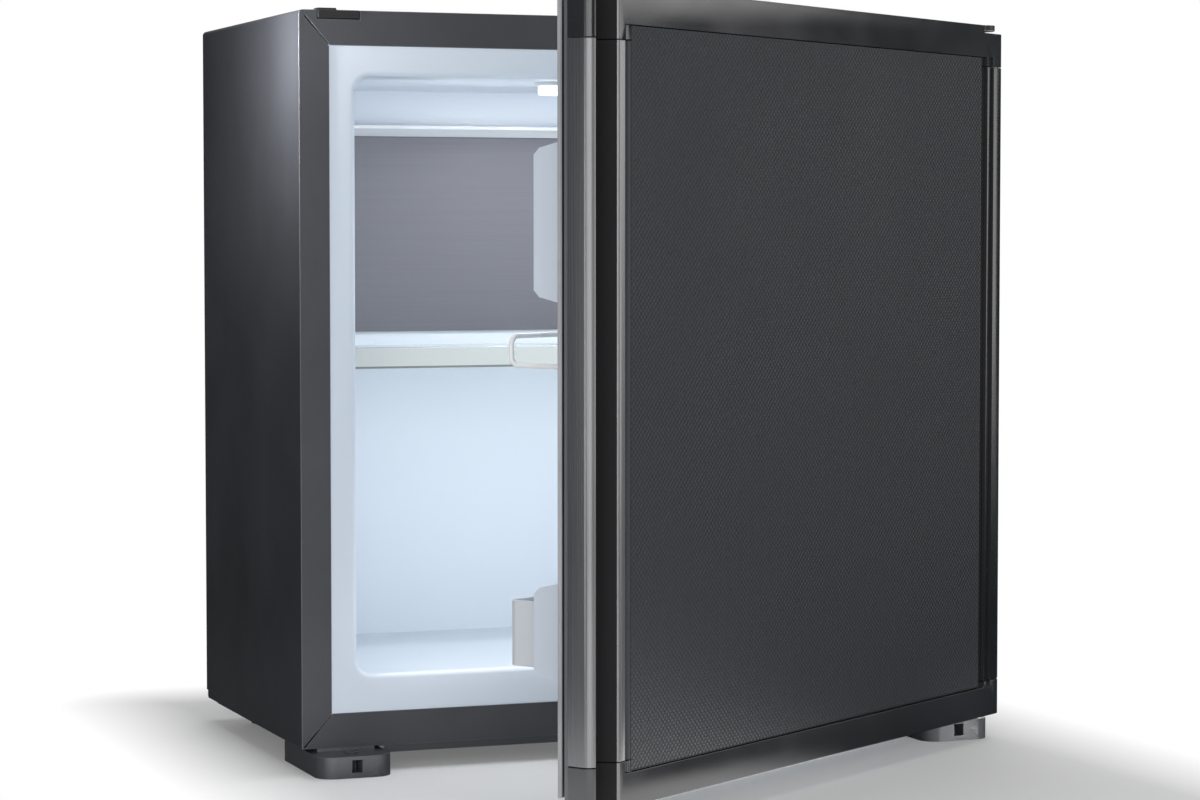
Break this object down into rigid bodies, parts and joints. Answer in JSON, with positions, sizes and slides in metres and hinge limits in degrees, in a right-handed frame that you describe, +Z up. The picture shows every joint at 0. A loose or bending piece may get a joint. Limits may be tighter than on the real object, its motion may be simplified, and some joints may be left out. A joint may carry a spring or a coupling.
{
  "type": "minibar fridge",
  "caption": "Small dark hotel minibar fridge with a hinged door, lit white interior, glass shelf, door bins and an open absorption cooling unit behind.",
  "frame": {"origin": "on the floor, midway between the fixing holes of the two front feet", "axes": "+X to the hinge side, +Y from the door to the back of the fridge, +Z up"},
  "size_m": [0.4218, 0.5475, 0.4222],
  "materials": {
    "case_paint": "satin",
    "galvanised_sheet": "satin",
    "unit_paint": "satin",
    "bare_aluminium": "satin",
    "steel": "satin",
    "white_moulding": "satin",
    "white_wire": "gloss",
    "lamp_diffuser": "satin",
    "lamp_circuit": "matte",
    "shelf_glass": "polished",
    "door_frame": "satin",
    "door_skin": "matte",
    "seal": "matte",
    "foot_moulding": "matte",
    "foot_pad": "matte",
    "bush": "satin",
    "foam": "matte",
    "wool": "matte",
    "control_moulding": "matte"
  },
  "bodies": {
    "cabinet": {"absorber_coil": "unit_paint", "absorber_vessel": "unit_paint", "back_panel": "galvanised_sheet", "back_panel_screws": "steel", "base_crossbar": "case_paint", "base_panel": "case_paint", "boiler_casing": "galvanised_sheet", "boiler_strap": "galvanised_sheet", "boiler_tube": "unit_paint", "boiler_wool": "wool", "case_insulation": "foam", "case_shell": "case_paint", "cold_plate": "bare_aluminium", "cold_plate_screws": "steel", "condenser_fins": "bare_aluminium", "condenser_hangers": "galvanised_sheet", "condenser_tube": "unit_paint", "control_box": "control_moulding", "control_box_lid": "control_moulding", "evaporator_block": "bare_aluminium", "evaporator_cover": "galvanised_sheet", "evaporator_tube": "unit_paint", "foot_left": "foot_moulding", "foot_right": "foot_moulding", "foot_screws": "steel", "gas_exchanger_tube": "unit_paint", "glass_shelf": "shelf_glass", "heater_cartridge": "steel", "hinge_pin_bottom": "steel", "hinge_pin_top": "steel", "hinge_plate": "case_paint", "hinge_slot_plug": "foot_moulding", "inner_liner": "white_moulding", "lamp_base": "white_moulding", "lamp_board": "lamp_circuit", "lamp_lens": "lamp_diffuser", "mains_inlet": "control_moulding", "rear_feet": "foot_pad", "shelf_trim": "white_moulding", "solution_tube": "unit_paint", "vessel_cradles": "galvanised_sheet"},
    "door": {"door_panel": "door_skin", "door_handle_profile": "door_frame", "door_hinge_profile": "door_frame", "door_top_cap": "door_frame", "door_bottom_cap": "door_frame", "door_liner": "white_moulding", "door_insulation": "foam", "door_gasket": "seal", "bottle_rail": "white_wire", "hinge_bush_top": "bush", "hinge_bush_bottom": "bush"},
    "upper_bin": {"upper_door_bin": "white_moulding"},
    "lower_rack": {"bottle_rack": "white_moulding"}
  },
  "joints": [
    {"name": "door_hinge", "type": "hinge", "parent": "cabinet", "child": "door", "pos_m": [0.199, -0.006, 0.2], "axis": [0, 0, 1], "range_deg": [-34, 76]},
    {"name": "upper_bin_lift", "type": "slide", "parent": "door", "child": "upper_bin", "axis": [0, 0, 1], "range_m": [0, 0.02]},
    {"name": "lower_rack_lift", "type": "slide", "parent": "door", "child": "lower_rack", "axis": [0, 0, 1], "range_m": [0, 0.02]}
  ]
}
